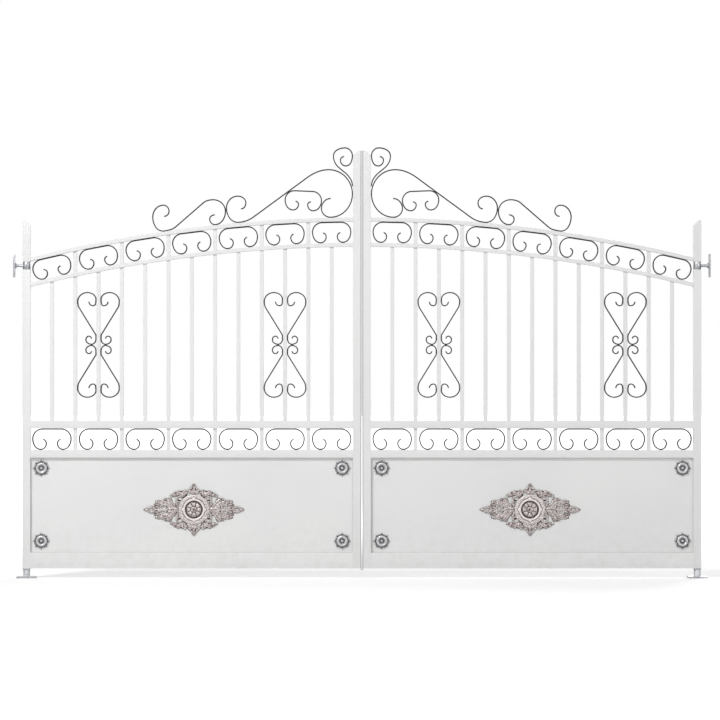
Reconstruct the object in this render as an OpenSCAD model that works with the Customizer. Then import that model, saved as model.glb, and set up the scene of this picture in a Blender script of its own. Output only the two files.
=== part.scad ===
// Double swing gate in aluminium tube, with a solid lower panel and flat-bar scrolls.
// The origin is on the ground under the left floor pivot, on the left hinge axis.
// +X runs along the closed gate, -Y is the outside (front) and +Z is up.
// Each leaf is drawn once, in its own frame: x counts outwards from the gate's centre
// line, z counts up from the underside of the leaf. It is then placed left and right.

/* [Gate] */
// Overall width over both leaves
gate_w = 3500; // [2900:10:4200]
// Depth of the leaf frame, front to back
frame_d = 40; // [34:1:60]
// Clear height under the closed leaves
ground_gap = 50; // [44:1:120]
// Space between the two meeting stiles
centre_gap = 12; // [11.5:0.5:20]

/* [Frame] */
// Width of the hinge stile and of the meeting stile
stile_w = 40; // [36:1:60]
// Wall of the frame tubes
frame_wall = 2; // [1.5:0.1:4]
// Height of the hinge stile
hinge_stile_h = 1794; // [1740:1:2000]
// Height of the meeting stile
meeting_stile_h = 2153; // [2130:1:2400]
// Height and width of the slope at the top of each stile
stile_cut = 26; // [10:1:30]
// Height of the bottom rail
bottom_rail_h = 80; // [60:1:120]
// Visible height of the solid panel
panel_h = 490; // [400:5:700]
// Thickness of the panel sheet
panel_t = 3; // [2:0.5:10]
// Height of the panel rail and of the mid rail
rail_h = 40; // [30:1:60]
// Clear height of the lower frieze
frieze_h = 111; // [90:1:140]

/* [Arch] */
// Height of the upper arch rail's top edge at the gate's centre line
arch_apex = 1809; // [1750:1:1830]
// Radius of the top edge of both arch rails
arch_r = 7200; // [6000:50:12000]
// Height of the section of each arch rail
arch_rail_h = 20; // [16:1:30]
// Drop from the upper arch rail to the lower one
arch_drop = 130.6; // [110:0.1:160]

/* [Bars] */
// Number of bars in a leaf, an odd number: odd ones are short and even ones are long
bar_count = 13; // [9:2:15]
// Side of the square bar tube
bar_w = 20; // [16:1:25]
// Wall of the bar tube
bar_wall = 1.5; // [1:0.1:3]
// Clearance round a bar in its punched hole, each side
punch_clear = 0.3; // [0.2:0.05:0.5]

/* [Scrolls] */
// Thickness of the scroll flat bar
scroll_t = 6; // [4:0.5:8]
// Depth of the scroll flat bar, front to back
scroll_d = 20; // [12:1:30]
// Gap between a scroll and what it is fixed to
seat = 0.3; // [0.2:0.05:0.5]
// Space between a frieze scroll and the uprights beside it
frieze_side = 8.5; // [2:0.5:20]
// Radius of the outer lobe of a frieze scroll
lobe_r = 50; // [40:1:54]
// Height of the middle of the heart ornaments
heart_z = 1152; // [1080:1:1180]
// Order of the bar that carries a heart, counted from either stile
heart_bar = 3; // [3:2:5]

/* [Castings] */
// Largest diameter of a rosette
rosette_dia = 88; // [70:1:100]
// Thickness of a rosette
rosette_t = 12; // [8:1:16]
// Distance from the stile to the middle of a rosette
rosette_side = 56; // [50:1:80]
// Distance from the panel rail down to the middle of an upper rosette
rosette_top = 54; // [50:1:80]
// Distance from the bottom rail up to the middle of a lower rosette
rosette_low = 60; // [50:1:80]
// Length of the panel ornament
ornament_l = 525; // [400:5:640]
// Height of the panel ornament
ornament_h = 273; // [220:1:330]
// Thickness of the panel ornament
ornament_t = 12; // [8:1:16]
// Height of the ornament's middle above the middle of the panel
ornament_off_z = -23; // [-40:1:40]
// Distance of the ornament's middle from the panel's middle, towards the meeting stile
ornament_off_x = 11; // [-40:1:40]

/* [Hinges] */
// Diameter of the round journal in the upper hinge
journal_dia = 30; // [24:1:32]
// Diameter of the floor pivot's pin
pin_dia = 20; // [16:1:24]
// Running clearance of pin and journal, measured on the radius
run_clear = 0.08; // [0.05:0.01:0.1]
// Height of the collar round the journal
collar_h = 38; // [30:1:60]
// Outside diameter of the collar
collar_dia = 40; // [38:1:46]
// Distance from the hinge axis to the wall plate's front
wall_reach = 60; // [50:1:90]
// Diameter of the collar's threaded stem
stem_dia = 16; // [12:1:20]
// Diameter of the fixing holes in the floor and wall plates
fixing_dia = 11; // [8:1:14]
// Side of the square floor plate
floor_plate = 100; // [90:1:140]
// Thickness of the buffer strip on each meeting stile
buffer_t = 3; // [2:0.5:3]
// Depth of the buffer strip, front to back
buffer_d = 30; // [20:1:32]
// How far the buffer strip hangs below the leaf
buffer_below = 9; // [0:1:20]

/* [Hidden] */

white = [0.93, 0.93, 0.92];
black = [0.08, 0.08, 0.09];
steel = [0.62, 0.63, 0.65];
cast_grey = [0.55, 0.55, 0.57];
antique = [0.56, 0.50, 0.48];

eps = 1;                                   // overrun of a cut past the face it opens
round_fn = 64;                             // sides of a small round piece
arch_fn = 256;                             // sides of an arch circle
arc_step = 12;                             // most degrees between two points of a scroll

// Along the leaf, from the gate's centre line
leaf_end = gate_w / 2;
meet_x = centre_gap / 2;
infill_x = meet_x + stile_w;
infill_end = leaf_end - stile_w;
infill_w = infill_end - infill_x;
hinge_x = leaf_end - stile_w / 2;

// Up the leaf, from its underside
panel_z = bottom_rail_h;
panel_rail_z = panel_z + panel_h;
frieze_z = panel_rail_z + rail_h;
mid_rail_z = frieze_z + frieze_h;
bars_z = mid_rail_z + rail_h;
arch_z = arch_apex - arch_r;               // centre of the upper arch rail's circle
arch_under_r = arch_r - arch_rail_h;

// Bars
bar_gap = (infill_w - bar_count * bar_w) / (bar_count + 1);
bay_w = 2 * bar_gap + bar_w;
bays = (bar_count + 1) / 2;

// Scrolls
touch = scroll_t / 2 + seat;               // centre line of a scroll to the face it meets

// Upper hinge
rail_to_collar = 2.4;                      // from the upper arch rail down to the collar
journal_run = 1;                           // collar to the stile ends, above and below
plug_clear = 0.2;                          // plug to the inside of the stile, each side
plug_l = 60;
collar_top = arch_under(infill_end, 0) - rail_to_collar;
collar_z = collar_top - collar_h;
gap_z = collar_z - journal_run;
gap_h = collar_h + 2 * journal_run;
stem_z = collar_z + collar_h / 2;
wall_plate_t = 8;
wall_plate_w = 60;
wall_plate_h = 120;
wall_hole_y = 30;
wall_hole_z = 90;
nut_af = 24;                               // across the flats of the stem's locknut
nut_h = 8;

// Floor pivot
floor_plate_t = 8;
floor_hole_pitch = 70;
boss_dia = 36;
thrust_gap = 0.3;                          // boss to the foot plug above it
foot_flange = 6;
foot_l = 50;
pin_l = 36;
pin_top_gap = 2;

// ---- Plane curves -------------------------------------------------------------------

function unit(a) = [cos(a), sin(a)];
function left_of(a) = [-sin(a), cos(a)];

// Points of the arc that leaves p with heading a and passes through q
function arc_to(p, a, q) =
  let (d = q - p, side = d * left_of(a), turn = 2 * atan2(side, d * unit(a)))
  abs(turn) < 0.2 ? [[q.x, q.y, a]] :
  let (r = d * d / (2 * side), c = p + r * left_of(a), n = ceil(abs(turn) / arc_step))
  [for (k = [1:n]) let (b = a + turn * k / n, e = c - r * left_of(b)) [e.x, e.y, b]];

// Two arcs that join the stations s and t, each given as [x, z, heading]
function join_arcs(s, t) =
  let (p = [s.x, s.y], q = [t.x, t.y], u = unit(s.z), w = unit(t.z), v = q - p,
       bend = 2 * (1 - u * w), go = v * (u + w),
       reach = bend < 0.001 ? v * v / (2 * go) : (sqrt(go * go + bend * (v * v)) - go) / bend,
       first = arc_to(p, s.z, (p + q + reach * (u - w)) / 2),
       m = first[len(first) - 1])
  concat(first, arc_to([m.x, m.y], m.z, q));

// The smooth line through a list of stations
function line_through(stations) =
  concat([stations[0]],
         [for (i = [1:len(stations) - 1]) each join_arcs(stations[i - 1], stations[i])]);

// Outline of a flat bar of thickness scroll_t that follows a line
function bar_outline(line) =
  let (half = scroll_t / 2, last = len(line) - 1)
  concat([for (s = line) [s.x, s.y] + half * left_of(s.z)],
         [for (i = [last:-1:0]) [line[i].x, line[i].y] - half * left_of(line[i].z)]);

function mirrored(stations) =
  [for (i = [len(stations) - 1:-1:0]) [-stations[i].x, stations[i].y, -stations[i].z]];

// Stations turned by a and moved to [x, z]
function moved(stations, x, z, a) =
  [for (s = stations) [x + s.x * cos(a) - s.y * sin(a), z + s.x * sin(a) + s.y * cos(a), s.z + a]];

// ---- Shapes used by several pieces ----------------------------------------------------

// A plane shape in x and z, made d deep and centred on the leaf's depth
module slab(d) translate([0, d / 2, 0]) rotate([90, 0, 0]) linear_extrude(d) children();

// A plane shape in x and z, made d thick on the front of the panel
module on_panel(d) translate([0, -panel_t / 2, 0]) rotate([90, 0, 0]) linear_extrude(d) children();

module placed(side) {
  if (side == "left") translate([hinge_x, 0, ground_gap]) mirror([1, 0, 0]) children();
  else translate([hinge_x, 0, ground_gap]) children();
}

// At the hinge axis of a side, on the ground, with x pointing away from the gate
module at_hinge(side) {
  if (side == "left") mirror([1, 0, 0]) children();
  else translate([2 * hinge_x, 0, 0]) children();
}

// A stile seen from the front: its plain side is at x = 0
function stile_outline(h, wall) =
  let (k = wall * sqrt(2), low = wall > 0 ? -eps : 0)
  [[wall, low], [stile_w - wall, low], [stile_w - wall, h - stile_cut - k + wall],
   [stile_w - stile_cut - k + wall, h - wall], [wall, h - wall]];

module stile(h) difference() {
  slab(frame_d) polygon(stile_outline(h, 0));
  slab(frame_d - 2 * frame_wall) polygon(stile_outline(h, frame_wall));
}

// A level tube between the stiles
module level_tube(z, h) difference() {
  translate([infill_x, -frame_d / 2, z]) cube([infill_w, frame_d, h]);
  translate([infill_x - eps, frame_wall - frame_d / 2, z + frame_wall])
    cube([infill_w + 2 * eps, frame_d - 2 * frame_wall, h - 2 * frame_wall]);
}

// Holes for the long bars, from z up over h
module punched(z, h) for (i = [2:2:bar_count - 1])
  translate([bar_x(i) - bar_w / 2 - punch_clear, -bar_w / 2 - punch_clear, z])
    cube([bar_w + 2 * punch_clear, bar_w + 2 * punch_clear, h]);

// ---- Leaf frame -------------------------------------------------------------------------

module hinge_stile() color(white) difference() {
  translate([leaf_end, 0, 0]) mirror([1, 0, 0]) stile(hinge_stile_h);
  translate([infill_end - eps, -frame_d, gap_z]) cube([stile_w + 2 * eps, 2 * frame_d, gap_h]);
}

module meeting_stile() color(white) translate([meet_x, 0, 0]) stile(meeting_stile_h);

module bottom_rail() color(white) level_tube(0, bottom_rail_h);
module panel_rail() color(white) level_tube(panel_rail_z, rail_h);

module mid_rail() color(white) difference() {
  level_tube(mid_rail_z, rail_h);
  punched(mid_rail_z - eps, rail_h + 2 * eps);
}

// The ring between two radii, over the width of the infill
module arch_band(r, h, drop, extra) intersection() {
  translate([0, arch_z - drop]) difference() {
    circle(r, $fn = arch_fn);
    circle(r - h, $fn = arch_fn);
  }
  translate([infill_x - extra, 0]) square([infill_w + 2 * extra, 2 * arch_apex]);
}

module arch_rail(drop) difference() {
  slab(frame_d) arch_band(arch_r, arch_rail_h, drop, 0);
  slab(frame_d - 2 * frame_wall)
    arch_band(arch_r - frame_wall, arch_rail_h - 2 * frame_wall, drop, eps);
}

module upper_arch_rail() color(white) arch_rail(0);

module lower_arch_rail() color(white) difference() {
  arch_rail(arch_drop);
  punched(bars_z + eps, arch_apex - bars_z);
}

// Buffer strip of rubber, glued down the meeting stile
module buffer_strip() color(black)
  translate([meet_x - buffer_t, -buffer_d / 2, -buffer_below])
    cube([buffer_t, buffer_d, meeting_stile_h + buffer_below]);

// ---- Bars -----------------------------------------------------------------------------

function bar_x(i) = infill_x + i * bar_gap + (i - 0.5) * bar_w;

// Height of an arch rail's underside
function arch_under(x, drop) = arch_z - drop + sqrt(arch_under_r * arch_under_r - x * x);

// Front view of a bar from z up to an arch rail, its top cut to the rail's slope
module bar_side(x, half, z, drop, over) polygon([
  [x - half, z], [x + half, z],
  [x + half, arch_under(x + half, drop) + over], [x - half, arch_under(x - half, drop) + over]
]);

module bar(x, z, drop) difference() {
  slab(bar_w) bar_side(x, bar_w / 2, z, drop, -seat);
  slab(bar_w - 2 * bar_wall) bar_side(x, bar_w / 2 - bar_wall, z - eps, drop, eps);
}

module long_bars() color(white) for (i = [2:2:bar_count]) bar(bar_x(i), frieze_z, 0);
module short_bars() color(white) for (i = [1:2:bar_count]) bar(bar_x(i), bars_z, arch_drop);

// ---- Scrolls --------------------------------------------------------------------------

module scroll(stations) slab(scroll_d) polygon(bar_outline(line_through(stations)));

// A C-scroll with its flat side up: half width w and half height h of its centre line
function c_half(w, h, r) =
  [[w - r, h, 0], [w, h - r, -90], [w - 42, -h, -180], [w - 70, 30 - h, -270],
   [w - 54, h - 53.5, -350]];
function c_scroll(w, h, r) = concat(mirrored(c_half(w, h, r)), c_half(w, h, r));

function bay_x(k) = infill_x + bay_w / 2 + k * (bay_w + bar_w);

module frieze_scrolls() color(black) for (k = [0:bays - 1])
  scroll(moved(c_scroll(bay_w / 2 - frieze_side - scroll_t / 2, frieze_h / 2 - touch, lobe_r),
               bay_x(k), frieze_z + frieze_h / 2, 0));

// Middle of the gap between the arch rails at x, and half its height square to them
function arch_mid(x) =
  arch_z + (sqrt(arch_under_r * arch_under_r - x * x) + sqrt(arch_r * arch_r - x * x) - arch_drop) / 2;
function arch_half(x) =
  let (z = arch_mid(x) - arch_z)
  min(arch_under_r - norm([x, z]), norm([x, z + arch_drop]) - arch_r);

// Drop of a scroll's flat below the upper arch rail, at least enough for the rail's curve
// and for the rails drawing together along the slope
least_drop = 0.25;
rail_clear = 0.1;
lobe_in = 2;                               // half height of an arch scroll over its lobe radius
function flat_drop(x, half) =
  max(least_drop, half * half / (2 * arch_under_r)
                  + arch_drop * x * half / (2 * arch_r * arch_r) - seat + rail_clear);

module arch_scrolls() color(black) for (k = [0:bays - 1])
  let (x = bay_x(k), w = bay_w / 2 - frieze_side - scroll_t / 2,
       room = arch_half(x) - touch - least_drop,
       h = room + least_drop - flat_drop(x, w - room + lobe_in))
  scroll(moved(c_scroll(w, h, h - lobe_in), x, arch_mid(x), -asin(x / arch_r)));

// One S-scroll of a heart: x from the bar's face, z from the heart's middle
function heart_s() =
  let (out = bar_gap - touch)
  [[39, 223, -90], [18, 202, -180], [touch, 234, -270], [47.6, 270, -360], [out, 224, -450],
   [out - 8, 190, -481.6], [touch + 3.2, 56, -481.6], [touch, 30, -450], [26, touch, -360],
   [55, 27, -270], [39, 45, -180], [26, 32.5, -100]];

module heart_scrolls() color(black)
  for (i = [heart_bar, bar_count + 1 - heart_bar])
    translate([bar_x(i), 0, heart_z])
      for (side = [0, 1]) mirror([side, 0, 0])
        for (low = [0, 1]) mirror([0, 0, low])
          translate([bar_w / 2, 0, 0]) scroll(heart_s());

// Crown scrolls stand on the upper arch rail. Their stations count x outwards from the
// meeting stile and z up from the rail below them. The small S-scroll and the top curl
// move off the large S-scroll as the flat bar gets thicker.
function arch_top(x) = arch_z + sqrt(arch_r * arch_r - x * x);
function crown(stations) =
  [for (s = stations) [infill_x + s.x, arch_top(infill_x + s.x) + s.y, s.z]];
function foot(x, a) = [x, touch, a - asin((infill_x + x) / arch_r)];
thicker = scroll_t - 6;                    // over the bar that the stations are drawn for

large_s = [[578, 72, 180], [553, 100, 90], [595, 139, 0], [653, 83, -90], foot(589, -180),
           [516, 23, -216.3], [234, 213.4, -216.3], [125, 249, -180], [touch, 122, -90],
           foot(115, 0), [163, 50, 90], [115, 100, 180]];
small_s = [[974.3, 79, 180], [949.3, 102, 90], [978.3, 137, 0], [1033.3, 84, -90],
           foot(974.3 + thicker, -180) - [thicker, 0, 0], [914.3, 17, -221],
           [773.3, 122, -221], [721.3, 133, -180], [658.3, 66, -90],
           foot(709.3 + thicker, 0) - [thicker, 0, 0], [739.3, 35, 90], [713.3, 54, 180]];
top_curl = [[46, 315, 0], [65, 297, -90], [38, 267, -180], [touch, 319, -270],
            [42, 360, -360], [101, 318, -450], [72, 258, -500], [38, 229.5, -500],
            [touch, 163, -450]];

// Middle of the inner C-scroll: this far up the straight run of the large S-scroll, and
// this far below it
inner_up = 259.9;
inner_below = 84.28;
function inner_middle() =
  let (run = crown([large_s[5], large_s[6]]), d = run[1] - run[0], a = atan2(d.y, d.x))
  [run[0].x, run[0].y] + inner_up * unit(a) + inner_below * left_of(a);

module crown_scrolls() color(black) {
  scroll(crown(large_s));
  scroll(crown([for (s = small_s) s + [thicker, 0, 0]]));
  scroll(crown([for (s = top_curl) s + [0, 1.3 * thicker, 0]]));
  scroll(moved(c_scroll(93.6 - thicker, 49.6 - thicker / 2, 47.5),
               inner_middle().x, inner_middle().y, 2.3));
}

// ---- Panel and castings -----------------------------------------------------------------

module panel() color(white)
  translate([infill_x, -panel_t / 2, panel_z]) cube([infill_w, panel_t, panel_h]);

// Eight long and eight short points round a dished disc with a raised boss
rosette_points = 16;
function rosette_r(k) =
  let (r = rosette_dia / 2)
  k % 2 == 1 ? 0.78 * r : k % 4 == 0 ? r : 0.9 * r;

module rosette() {
  on_panel(rosette_t / 3)
    polygon([for (k = [0:2 * rosette_points - 1]) rosette_r(k) * unit(k * 180 / rosette_points)]);
  on_panel(rosette_t * 2 / 3) circle(0.72 * rosette_dia / 2, $fn = round_fn);
  on_panel(rosette_t) circle(0.43 * rosette_dia / 2, $fn = round_fn);
}

module rosettes() color(cast_grey)
  for (x = [infill_x + rosette_side, infill_end - rosette_side])
    for (z = [panel_z + rosette_low, panel_rail_z - rosette_top])
      translate([x, 0, z]) rosette();

// Upper right quarter of the ornament's edge, from the side point to the top point
function ornament_edge() =
  let (a = ornament_l / 2, b = ornament_h / 2)
  [[a, 0], [0.86 * a, 0.16 * b], [0.78 * a, 0.16 * b], [0.76 * a, 0.30 * b],
   [0.58 * a, 0.42 * b], [0.47 * a, 0.53 * b], [0.38 * a, 0.62 * b], [0.19 * a, 0.75 * b],
   [0.11 * a, 0.75 * b], [0, b]];

module ornament_quarter() polygon(concat([[0, 0]], ornament_edge()));

module panel_ornament() color(antique)
  translate([(infill_x + infill_end) / 2 - ornament_off_x, 0, panel_z + panel_h / 2 + ornament_off_z]) {
    difference() {
      on_panel(ornament_t / 2)
        for (flip_x = [0, 1]) mirror([flip_x, 0])
          for (flip_z = [0, 1]) mirror([0, flip_z]) ornament_quarter();
      on_panel(ornament_t)
        for (sx = [-1, 1]) for (sz = [-1, 1]) {
          translate([sx * 0.6 * ornament_l / 2, sz * 0.11 * ornament_h / 2])
            circle(0.07 * ornament_h / 2, $fn = round_fn);
          translate([sx * 0.27 * ornament_l / 2, sz * 0.4 * ornament_h / 2])
            circle(0.09 * ornament_h / 2, $fn = round_fn);
        }
    }
    on_panel(ornament_t * 3 / 4) circle(0.56 * ornament_h / 2, $fn = round_fn);
    on_panel(ornament_t) circle(0.24 * ornament_h / 2, $fn = round_fn);
  }

// ---- Hinges -----------------------------------------------------------------------------

// A square plug that fits inside the hinge stile
module stile_plug(l) let (w = stile_w - 2 * (frame_wall + plug_clear), d = frame_d - 2 * (frame_wall + plug_clear))
  translate([-w / 2, -d / 2, 0]) cube([w, d, l]);

module hinge_journal() color(steel) translate([hinge_x, 0, 0]) {
  translate([0, 0, gap_z - plug_l]) stile_plug(plug_l);
  translate([0, 0, gap_z]) cylinder(d = journal_dia, h = gap_h, $fn = round_fn);
  translate([0, 0, gap_z + gap_h]) stile_plug(plug_l);
}

module foot_plug() color(steel) translate([hinge_x, 0, 0]) difference() {
  union() {
    translate([-stile_w / 2, -frame_d / 2, -foot_flange]) cube([stile_w, frame_d, foot_flange]);
    stile_plug(foot_l);
  }
  translate([0, 0, -foot_flange - eps])
    cylinder(r = pin_dia / 2 + run_clear, h = pin_l + pin_top_gap + eps, $fn = round_fn);
}

module floor_pivot() color(steel) {
  difference() {
    translate([-floor_plate / 2, -floor_plate / 2, 0]) cube([floor_plate, floor_plate, floor_plate_t]);
    for (x = [-1, 1]) for (y = [-1, 1])
      translate([x * floor_hole_pitch / 2, y * floor_hole_pitch / 2, -eps])
        cylinder(d = fixing_dia, h = floor_plate_t + 2 * eps, $fn = round_fn);
  }
  cylinder(d = boss_dia, h = ground_gap - foot_flange - thrust_gap, $fn = round_fn);
  cylinder(d = pin_dia, h = ground_gap - foot_flange - thrust_gap + pin_l, $fn = round_fn);
}

module collar() color(steel) translate([0, 0, ground_gap + stem_z]) difference() {
  union() {
    translate([0, 0, -collar_h / 2]) cylinder(d = collar_dia, h = collar_h, $fn = round_fn);
    rotate([0, 90, 0]) cylinder(d = stem_dia, h = wall_reach, $fn = round_fn);
    translate([wall_reach - nut_h, 0, 0]) rotate([0, 90, 0])
      cylinder(d = nut_af / cos(30), h = nut_h, $fn = 6);
  }
  translate([0, 0, -collar_h / 2 - eps])
    cylinder(r = journal_dia / 2 + run_clear, h = collar_h + 2 * eps, $fn = round_fn);
}

module wall_plate() color(steel) translate([wall_reach, 0, ground_gap + stem_z]) difference() {
  translate([0, -wall_plate_w / 2, -wall_plate_h / 2]) cube([wall_plate_t, wall_plate_w, wall_plate_h]);
  for (y = [-1, 1]) for (z = [-1, 1])
    translate([-eps, y * wall_hole_y / 2, z * wall_hole_z / 2]) rotate([0, 90, 0])
      cylinder(d = fixing_dia, h = wall_plate_t + 2 * eps, $fn = round_fn);
}

// ---- Assembly -----------------------------------------------------------------------------

at_hinge("left") floor_pivot();  // left_floor_pivot
at_hinge("left") collar();  // left_collar
at_hinge("left") wall_plate();  // left_wall_plate
at_hinge("right") floor_pivot();  // right_floor_pivot
at_hinge("right") collar();  // right_collar
at_hinge("right") wall_plate();  // right_wall_plate

placed("left") hinge_stile();  // left_hinge_stile
placed("left") hinge_journal();  // left_hinge_journal
placed("left") foot_plug();  // left_foot_plug
placed("left") meeting_stile();  // left_meeting_stile
placed("left") upper_arch_rail();  // left_upper_arch_rail
placed("left") lower_arch_rail();  // left_lower_arch_rail
placed("left") mid_rail();  // left_mid_rail
placed("left") panel_rail();  // left_panel_rail
placed("left") bottom_rail();  // left_bottom_rail
placed("left") long_bars();  // left_long_bars
placed("left") short_bars();  // left_short_bars
placed("left") arch_scrolls();  // left_arch_scrolls
placed("left") frieze_scrolls();  // left_frieze_scrolls
placed("left") heart_scrolls();  // left_heart_scrolls
placed("left") crown_scrolls();  // left_crown_scrolls
placed("left") panel();  // left_panel
placed("left") rosettes();  // left_rosettes
placed("left") panel_ornament();  // left_panel_ornament
placed("left") buffer_strip();  // left_buffer_strip

placed("right") hinge_stile();  // right_hinge_stile
placed("right") hinge_journal();  // right_hinge_journal
placed("right") foot_plug();  // right_foot_plug
placed("right") meeting_stile();  // right_meeting_stile
placed("right") upper_arch_rail();  // right_upper_arch_rail
placed("right") lower_arch_rail();  // right_lower_arch_rail
placed("right") mid_rail();  // right_mid_rail
placed("right") panel_rail();  // right_panel_rail
placed("right") bottom_rail();  // right_bottom_rail
placed("right") long_bars();  // right_long_bars
placed("right") short_bars();  // right_short_bars
placed("right") arch_scrolls();  // right_arch_scrolls
placed("right") frieze_scrolls();  // right_frieze_scrolls
placed("right") heart_scrolls();  // right_heart_scrolls
placed("right") crown_scrolls();  // right_crown_scrolls
placed("right") panel();  // right_panel
placed("right") rosettes();  // right_rosettes
placed("right") panel_ornament();  // right_panel_ornament
placed("right") buffer_strip();  // right_buffer_strip
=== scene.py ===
from math import asin, atan2, ceil, cos, degrees, exp, hypot, pi, radians, sin, sqrt

import bmesh
import bpy
from mathutils import Matrix, Vector


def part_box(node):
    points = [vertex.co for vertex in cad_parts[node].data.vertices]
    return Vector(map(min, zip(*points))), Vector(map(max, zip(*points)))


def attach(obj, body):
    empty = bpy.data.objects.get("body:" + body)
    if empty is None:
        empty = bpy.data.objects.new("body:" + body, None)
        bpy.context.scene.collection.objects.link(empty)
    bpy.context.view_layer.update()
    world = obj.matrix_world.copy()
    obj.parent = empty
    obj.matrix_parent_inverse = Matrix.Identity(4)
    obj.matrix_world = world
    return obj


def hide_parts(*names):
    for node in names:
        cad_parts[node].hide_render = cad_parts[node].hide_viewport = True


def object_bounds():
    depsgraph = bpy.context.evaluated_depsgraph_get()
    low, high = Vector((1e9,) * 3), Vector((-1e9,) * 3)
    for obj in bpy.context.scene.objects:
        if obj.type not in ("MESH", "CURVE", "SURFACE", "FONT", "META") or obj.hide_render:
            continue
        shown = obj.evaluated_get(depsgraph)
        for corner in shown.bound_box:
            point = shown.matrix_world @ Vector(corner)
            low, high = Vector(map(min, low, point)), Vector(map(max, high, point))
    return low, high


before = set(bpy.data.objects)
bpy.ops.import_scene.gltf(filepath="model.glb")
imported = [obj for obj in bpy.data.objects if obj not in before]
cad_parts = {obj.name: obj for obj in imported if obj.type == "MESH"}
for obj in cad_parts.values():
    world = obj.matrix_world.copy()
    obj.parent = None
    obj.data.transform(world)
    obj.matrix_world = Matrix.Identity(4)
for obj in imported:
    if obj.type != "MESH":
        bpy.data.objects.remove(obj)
cad_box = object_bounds()

# ---- The gate's lines ----
# Both leaves mirror each other about the centre line. Places on a leaf count outwards
# from that line and upwards from the leaf's underside.

SIDES = {"left": -1, "right": 1}
centre_x = (cad_box[0].x + cad_box[1].x) / 2
leaf_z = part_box("left_bottom_rail")[0].z
frame_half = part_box("left_bottom_rail")[1].y
infill_start = centre_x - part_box("left_panel")[1].x
infill_end = centre_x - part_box("left_panel")[0].x
arch_r = 7.2
arch_rail_h = 0.02
under_r = arch_r - arch_rail_h


def on_arch(centre, radius, x):
    """Height of an arch at x from the gate's middle."""
    return centre + sqrt(radius ** 2 - x ** 2)


def arch_centre(rail):
    """Height of an arch rail's centre. Its top is highest where the infill starts."""
    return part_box(f"left_{rail}_arch_rail")[1].z - on_arch(0, arch_r, infill_start)


upper_centre, lower_centre = arch_centre("upper"), arch_centre("lower")


# ---- White powder coat ----
# The frame, the bars and the panel are aluminium, coated white after welding. The coat has
# a fine orange peel, cloudy gloss, and a little road dust near the ground.

def add(tree, kind, feeds=None, out=0, **settings):
    """Adds a node, feeds its inputs with values or sockets, and gives one output."""
    node = tree.nodes.new(kind)
    for key, value in settings.items():
        setattr(node, key, value)
    for slot, feed in (feeds or {}).items():
        if isinstance(feed, bpy.types.NodeSocket):
            tree.links.new(feed, node.inputs[slot])
        else:
            node.inputs[slot].default_value = feed
    return node.outputs[out] if node.outputs else None


def maths(tree, operation, *values):
    return add(tree, "ShaderNodeMath", dict(enumerate(values)), operation=operation)


def finish_named(name):
    """A new material, with its tree, its shader and the object's own coordinates."""
    material = bpy.data.materials.new(name)
    material.use_nodes = True
    tree = material.node_tree
    return (material, tree, tree.nodes["Principled BSDF"],
            add(tree, "ShaderNodeTexCoord", out="Object"))


def spots(tree, place, scale, detail=2.0, rough=0.5):
    return add(tree, "ShaderNodeTexNoise",
               {"Vector": place, "Scale": scale, "Detail": detail, "Roughness": rough})


def spread(tree, value, low, high, out_low, out_high):
    return add(tree, "ShaderNodeMapRange",
               {"Value": value, "From Min": low, "From Max": high,
                "To Min": out_low, "To Max": out_high})


def tint(tree, factor, first, second):
    """Mixes two colours; each is a socket or an (r, g, b)."""
    first, second = ((*c, 1) if isinstance(c, tuple) else c for c in (first, second))
    return add(tree, "ShaderNodeMix", {0: factor, 6: first, 7: second}, 2, data_type="RGBA")


def facing_up(tree):
    return add(tree, "ShaderNodeSeparateXYZ",
               {0: add(tree, "ShaderNodeNewGeometry", out="Normal")}, 2)


def dress(tree, shader, colour, rough, bumps, metallic=0.0):
    """Feeds a shader its colour, its roughness and bumps of (height, depth, strength)."""
    tree.links.new(colour, shader.inputs["Base Color"])
    tree.links.new(rough, shader.inputs["Roughness"])
    shader.inputs["Metallic"].default_value = metallic
    normal = {}
    for height, depth, strength in bumps:
        normal["Normal"] = add(tree, "ShaderNodeBump", {
            "Height": height, "Distance": depth, "Strength": strength, **normal})
    tree.links.new(normal["Normal"], shader.inputs["Normal"])


white_coat, tree, shader, place = finish_named("white_powder_coat")
cloud = spread(tree, spots(tree, place, 2.2, 3), 0.35, 0.65, 0, 1)
coat = tint(tree, cloud, (0.785, 0.788, 0.788), (0.815, 0.815, 0.81))
near_ground = spread(tree, add(tree, "ShaderNodeSeparateXYZ", {0: place}, 2), 0.05, 0.42, 1, 0)
splash = spread(tree, spots(tree, place, 26, 5, 0.65), 0.42, 0.72, 0, 0.16)
dusted = tint(tree, maths(tree, "MULTIPLY", near_ground, splash), coat, (0.44, 0.40, 0.34))
ledge = spread(tree, facing_up(tree), 0.6, 1.0, 0, 0.12)
film = spread(tree, spots(tree, place, 55, 4, 0.6), 0.3, 0.8, 0.2, 1)
dress(tree, shader,
      tint(tree, maths(tree, "MULTIPLY", ledge, film), dusted, (0.46, 0.44, 0.40)),
      spread(tree, spots(tree, place, 38, 3), 0.3, 0.7, 0.30, 0.43),
      [(spots(tree, place, 340, 2), 0.00012, 0.35), (spots(tree, place, 9, 2), 0.0006, 0.08)])


# ---- Stiles, straight rails ----
# Two box-tube uprights and three level box tubes make each leaf's frame. They are drawn
# aluminium tube with small outside radii; the stiles are cut to a slope and capped.

def new_piece(name, mesh):
    piece = bpy.data.objects.new(name, mesh)
    bpy.context.scene.collection.objects.link(piece)
    return piece


def fixed(piece, body, slot, *stands_for):
    """Fixes a piece to its body, in place of a CAD solid if it has one; slot is not used."""
    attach(piece, body)
    if stands_for:
        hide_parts(*stands_for)


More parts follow.
